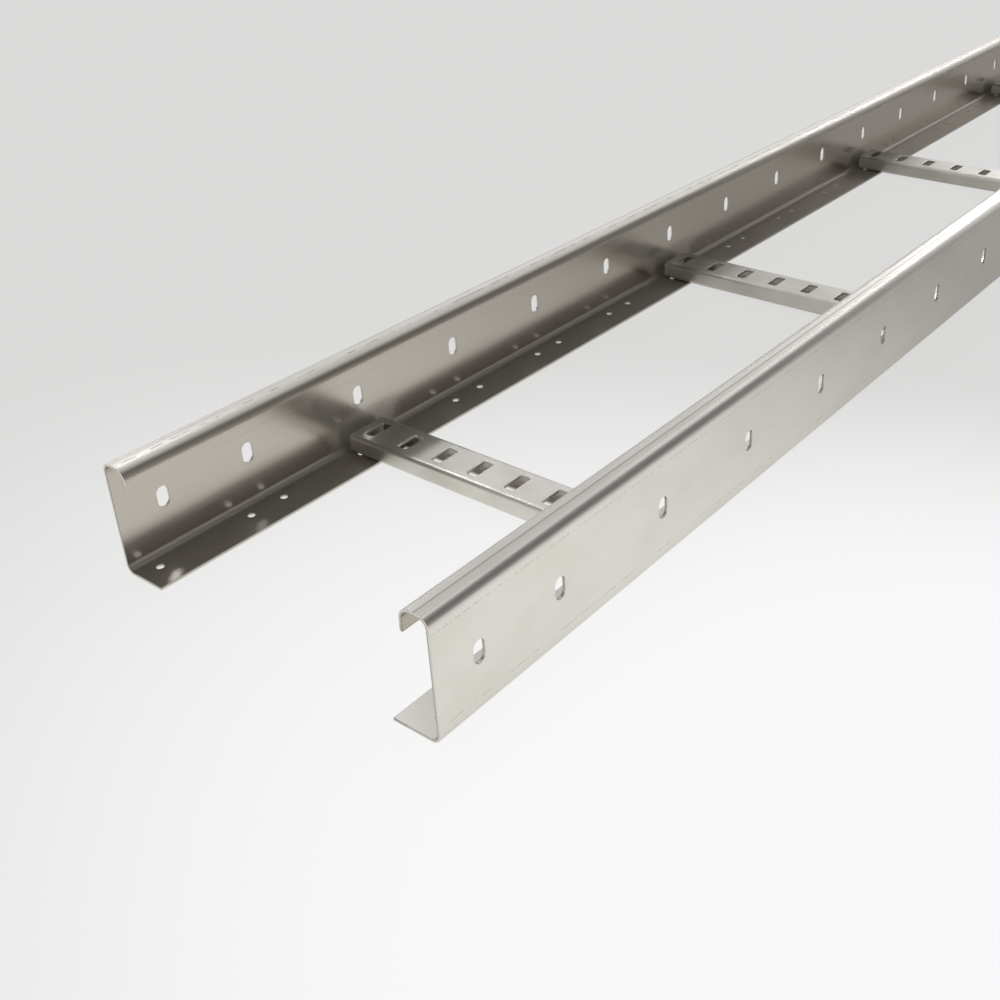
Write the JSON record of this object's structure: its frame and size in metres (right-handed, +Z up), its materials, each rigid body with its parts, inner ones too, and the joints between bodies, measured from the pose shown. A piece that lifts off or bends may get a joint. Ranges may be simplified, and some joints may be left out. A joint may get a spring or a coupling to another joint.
{
  "type": "cable ladder section",
  "caption": "Straight cable ladder length with inward-folded C side rails and slotted channel rungs, for carrying cables along a run.",
  "frame": {"origin": "middle of the footprint, on the underside of the bottom flanges", "axes": "+X along the ladder, +Y across it towards the left side rail, +Z up out of the open side"},
  "size_m": [3, 0.2, 0.06],
  "materials": {
    "stainless_rail": "mill-rolled satin stainless, slightly mirror-like",
    "stainless_rung": "mill-rolled satin stainless, slightly mirror-like"
  },
  "bodies": {
    "root": {"side_rail_left": "stainless_rail", "side_rail_right": "stainless_rail", "rung_1": "stainless_rung", "rung_2": "stainless_rung", "rung_3": "stainless_rung", "rung_4": "stainless_rung", "rung_5": "stainless_rung", "rung_6": "stainless_rung", "rung_7": "stainless_rung", "rung_8": "stainless_rung", "rung_9": "stainless_rung", "rung_10": "stainless_rung"}
  },
  "joints": []
}
